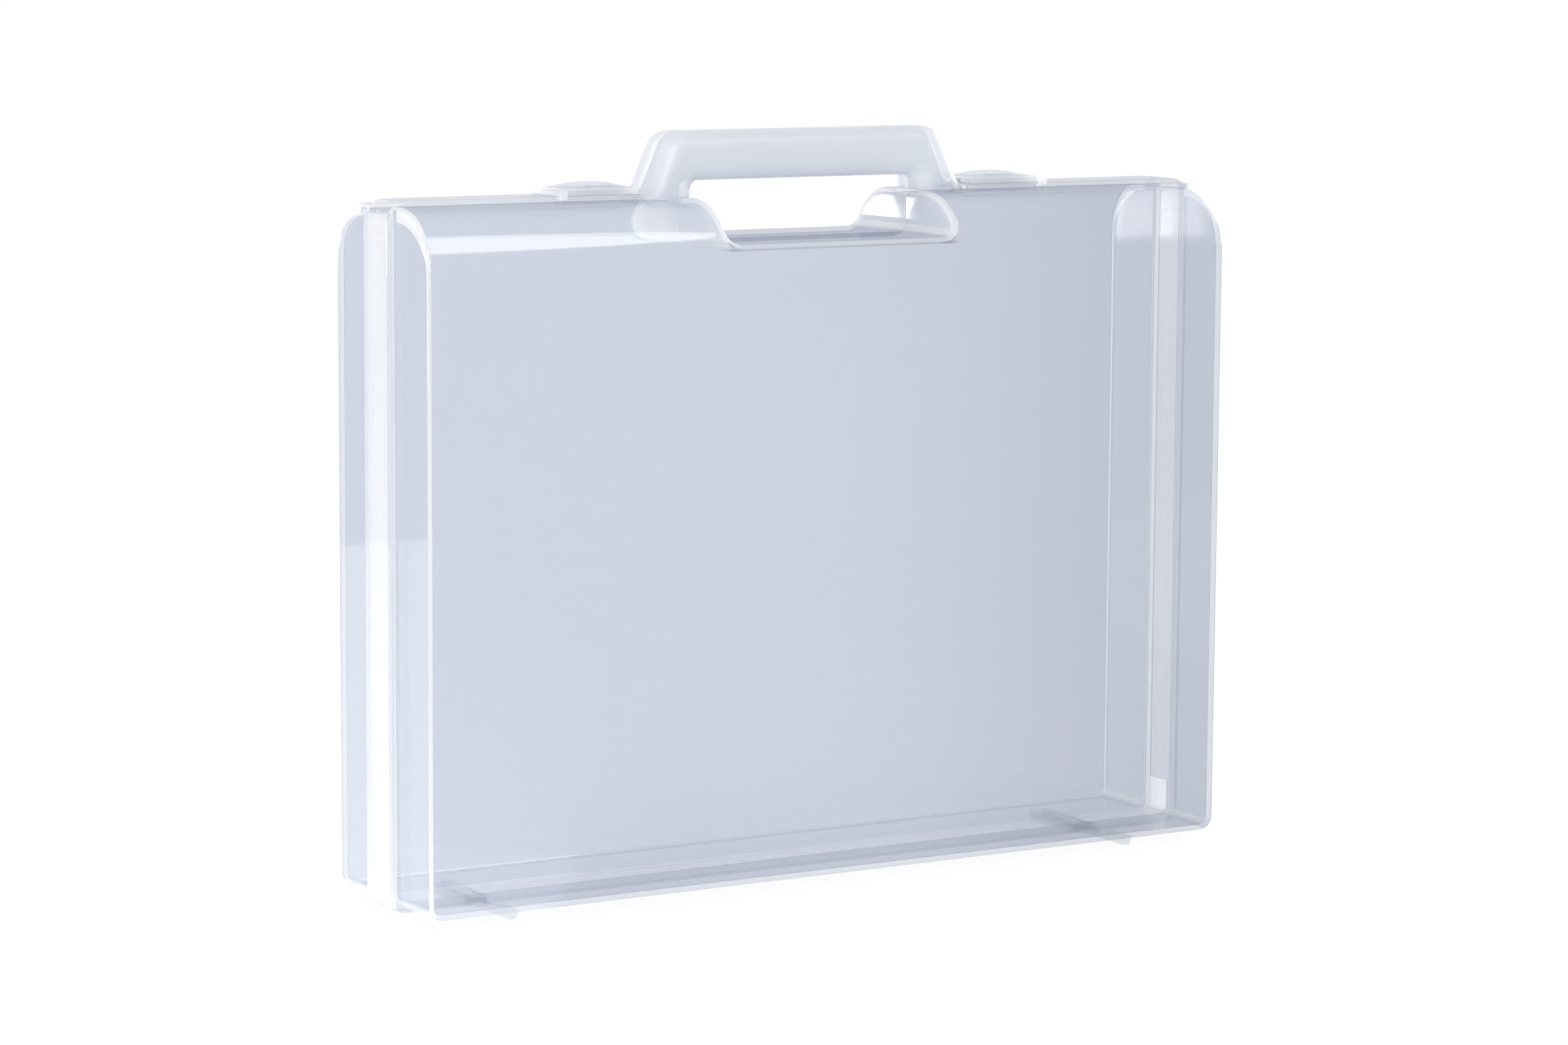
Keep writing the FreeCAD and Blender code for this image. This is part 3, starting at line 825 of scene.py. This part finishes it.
# %% Hinge plate tree
def plate_row_tree(finish):
    """A node group: fills a side view, makes it a plate and sets a row of plates along the hinge."""
    tree = bpy.data.node_groups.new("hinge plate row", "GeometryNodeTree")
    face = tree.interface
    face.new_socket("Geometry", in_out="INPUT", socket_type="NodeSocketGeometry")
    for name, kind in (("Thickness", "NodeSocketFloat"), ("Plates", "NodeSocketInt"),
                       ("First", "NodeSocketFloat"), ("Step", "NodeSocketFloat")):
        face.new_socket(name, in_out="INPUT", socket_type=kind)
    face.new_socket("Geometry", in_out="OUTPUT", socket_type="NodeSocketGeometry")
    given = tree.nodes.new("NodeGroupInput").outputs
    flat = add_node(tree, "GeometryNodeFillCurve", Curve=given["Geometry"]).outputs["Mesh"]
    raised = add_node(tree, "GeometryNodeExtrudeMesh", Mesh=flat, Offset_Scale=given["Thickness"],
                      Individual=False)
    under = add_node(tree, "GeometryNodeFlipFaces", Mesh=flat)
    closed = tree.nodes.new("GeometryNodeJoinGeometry")
    for part in (under.outputs[0], raised.outputs["Mesh"]):
        tree.links.new(part, closed.inputs[0])
    welded = add_node(tree, "GeometryNodeMergeByDistance", Geometry=closed.outputs[0], Distance=1e-6)
    upright = add_node(tree, "GeometryNodeTransform", Geometry=welded.outputs[0],
                       Rotation=(math.pi / 2, 0, math.pi / 2))
    start = add_node(tree, "ShaderNodeCombineXYZ", X=given["First"])
    step = add_node(tree, "ShaderNodeCombineXYZ", X=given["Step"])
    row = add_node(tree, "GeometryNodeMeshLine", Count=given["Plates"], Start_Location=start.outputs[0],
                   Offset=step.outputs[0])
    placed = add_node(tree, "GeometryNodeInstanceOnPoints", Points=row.outputs[0],
                      Instance=upright.outputs[0])
    real = add_node(tree, "GeometryNodeRealizeInstances", Geometry=placed.outputs[0])
    painted = add_node(tree, "GeometryNodeSetMaterial", Geometry=real.outputs[0], Material=finish)
    result = tree.nodes.new("NodeGroupOutput")
    tree.links.new(painted.outputs[0], result.inputs[0])
    return tree


plate_row = plate_row_tree(shell_plastic)
print("hinge plate tree has", len(plate_row.nodes), "nodes")

# %% [markdown]
# ## Plates and pins in place
# The front shell has one plate at each corner, and the rear shell a pair that stands on both sides of it.
# The front plates turn on the pin, so their bore has a little play, and the rear ones hold it fast. Both
# side views go round the rim, because each plate is moulded onto its shell.

# %% Hinge plates and pins
RIM_FRONT, RIM_REAR, RIM_BOTTOM = -0.0104, 0.0112, 0.0022
SEAM_FRONT = -0.00755
CEILING = 0.0034
NECK = (-0.0009, 0.0028)
FRONT_VIEW = [(0, 0), (-PLATE_END, 0), (-PLATE_END - PLATE_SLOPE, FOOT), (RIM_FRONT, FOOT),
              (RIM_FRONT, RIM_BOTTOM), (SEAM_FRONT, RIM_BOTTOM), (SEAM_FRONT, HINGE_Z + KNUCKLE),
              *knuckle_arc(90, -80)]
REAR_VIEW = [*knuckle_arc(180, 270), (PLATE_END, 0), (PLATE_END + PLATE_SLOPE, FOOT), (RIM_REAR, FOOT),
             (RIM_REAR, CEILING), (0, CEILING), NECK]
PIN, PIN_PLAY, PIN_ROUND = 0.00075, 0.00006, 0.00012
HINGE_X = 0.1455
FRONT_THICK, REAR_THICK, SIDE_GAP = 0.003, 0.0026, 0.0004
SIDES = (("left", -1), ("right", 1))


def plates(name, side_view, bore, **inputs):
    """A row of hinge plates as a plain mesh."""
    shape = new_piece(name + "_view", plate_outline(side_view, bore))
    maker = shape.modifiers.new("plate row", "NODES")
    maker.node_group = plate_row
    for item in plate_row.interface.items_tree:
        if item.in_out == "INPUT" and item.name in inputs:
            maker[item.identifier] = inputs[item.name]
    bpy.context.view_layer.update()
    mesh = applied_mesh(shape)
    bpy.data.objects.remove(shape)
    mesh.name = name
    paint_light_on_edges(mesh, is_shell=False, most=0.0)
    print(name, "has", len(mesh.polygons), "faces")
    return new_piece(name, mesh)


front_plates = plates("front_hinge_plates", FRONT_VIEW, PIN + PIN_PLAY, Thickness=FRONT_THICK, Plates=2,
                      First=-HINGE_X - FRONT_THICK / 2, Step=2 * HINGE_X)
dress(front_plates, ["front_hinge_lug_left", "front_hinge_lug_right"], shell_plastic)
for side_name, side in SIDES:
    pair = plates(f"rear_hinge_plates_{side_name}", REAR_VIEW, PIN, Thickness=REAR_THICK, Plates=2,
                  First=side * HINGE_X - FRONT_THICK / 2 - SIDE_GAP - REAR_THICK,
                  Step=FRONT_THICK + 2 * SIDE_GAP + REAR_THICK)
    dress(pair, [f"rear_hinge_fork_{side_name}"], shell_plastic)
    pin = moulded(f"hinge_pin_{side_name}", f"hinge_rod_{side_name}", PIN_ROUND)
    dress(pin, [f"hinge_pin_{side_name}"], pin_plastic)

# %% [markdown]
# ## Thumb rests
# A latch has a thumb rest on top: a lens with a short bar that the finger pushes. The lens could be cut
# from a sphere, but it rises more at its rear, so it is a grid whose height follows two arcs. The bar and
# its knob are stretched balls, which gives them round ends.

# %% Lens and finger bar
PLATE_TOP = 0.2796
LENS_HALF = (0.01395, 0.00895)
LENS_RISE = 0.00195
LENS_LIP = 0.00025
LENS_STEPS = (36, 24)
LENS_ARC, LENS_FALL = 0.75, 4
REAR_STEEP, REAR_FROM, FRONT_SHARE = 2.2, 0.25, 0.25
BAR_HALF, BAR_RADIUS = 0.0056, 0.00062
KNOB_RADIUS, KNOB_FROM, KNOB_TO = 0.00115, -0.0004, 0.0010
BAR_PLACE, BAR_LIFT, BAR_FLAT = 0.62, 0.00085, 0.95


def lens_height(u, v):
    """Height of the lens at u and v from -1 to 1: an arc along it, and a slope up to its rear."""
    rear = 0.5 + 0.5 * math.tanh(REAR_STEEP * (v + REAR_FROM))
    along = (1 - u * u) ** LENS_ARC
    across = 1 - abs(v) ** LENS_FALL
    return LENS_RISE * along * across * (FRONT_SHARE + (1 - FRONT_SHARE) * rear)


def add_lens(form, middle, centre_y):
    """The lens, closed below by a flat face on the latch."""
    count_u, count_v = LENS_STEPS
    rows = []
    for i in range(count_u + 1):
        u = 2 * i / count_u - 1
        x = middle + u * LENS_HALF[0]
        line = []
        for j in range(count_v + 1):
            v = 2 * j / count_v - 1
            high = lens_height(u, v) + LENS_LIP
            line.append(form.verts.new((x, centre_y + v * LENS_HALF[1], PLATE_TOP + high)))
        rows.append(line)
    for near, far in zip(rows, rows[1:]):
        for j in range(count_v):
            form.faces.new((near[j], far[j], far[j + 1], near[j + 1]))
    rim = [edge for edge in form.edges if edge.is_boundary]
    lower = bmesh.ops.extrude_edge_only(form, edges=rim)["geom"]
    for corner in (part for part in lower if isinstance(part, bmesh.types.BMVert)):
        corner.co.z = PLATE_TOP
    bmesh.ops.holes_fill(form, edges=[edge for edge in form.edges if edge.is_boundary], sides=0)


def add_finger_bar(form, middle, centre_y):
    """The bar in front of the lens, with a knob at its left end."""
    bar_y = centre_y - BAR_PLACE * LENS_HALF[1]
    bar_z = PLATE_TOP + BAR_LIFT
    knob = (KNOB_RADIUS, -BAR_HALF + KNOB_FROM, -BAR_HALF + KNOB_TO)
    for radius, low, high in ((BAR_RADIUS, -BAR_HALF, BAR_HALF), knob):
        ball = bmesh.ops.create_uvsphere(form, u_segments=20, v_segments=12, radius=radius)["verts"]
        for vert in ball:
            x, y, z = vert.co
            stretch = low if x < 0 else high
            vert.co = (middle + x + stretch, bar_y + y, bar_z + z * BAR_FLAT)


print("lens rises", round(1000 * lens_height(0, 0), 2), "mm in its middle")

# %% [markdown]
# ## Sliding latches
# A latch is one clear moulding: a slider on a rail, a clamp at its outer end, and the thumb rest. The
# rail belongs to the rear shell. Rail, slider and clamp are blocks with rounded edges, so they are copies
# of their solids. All pieces of one latch ride on its body and slide together.

# %% Latches
LATCH_MIDDLE = 0.09435
LATCH_CENTRE_Y = -0.0002
LENS_WHITE = 0.15
LENS_SHARP = math.radians(50)
BLOCKS = (("latch_rail", "rail", 0.0002, shell_plastic, "clear_shell"),
          ("latch_plate", "slider", 0.0004, latch_plastic, "clear_latch"),
          ("latch_claw", "clamp", 0.0004, latch_plastic, "clear_latch"))


def thumb_rest(name, middle, centre_y):
    """Lens with a finger bar on it, all closed meshes."""
    form = bmesh.new()
    add_lens(form, middle, centre_y)
    add_finger_bar(form, middle, centre_y)
    bmesh.ops.recalc_face_normals(form, faces=form.faces)
    mesh = bpy.data.meshes.new(name)
    form.to_mesh(mesh)
    form.free()
    # painted highlight and painted shade on the lens's edges, by their direction to the lamps
    paint_light_on_edges(mesh, is_shell=False, most=LENS_WHITE)
    mesh.shade_smooth()
    mesh.set_sharp_from_angle(angle=LENS_SHARP)
    print(name, "has", len(mesh.polygons), "faces")
    return new_piece(name, mesh)


for side_name, side in SIDES:
    for node, job, rounding, finish, slot in BLOCKS:
        piece = moulded(f"{node}_{side_name}", f"{side_name}_latch_{job}", rounding)
        dress(piece, [f"{node}_{side_name}"], finish)
    rest = thumb_rest(f"{side_name}_latch_thumb_rest", side * LATCH_MIDDLE, LATCH_CENTRE_Y)
    dress(rest, [f"latch_dome_{side_name}"], lens_plastic)
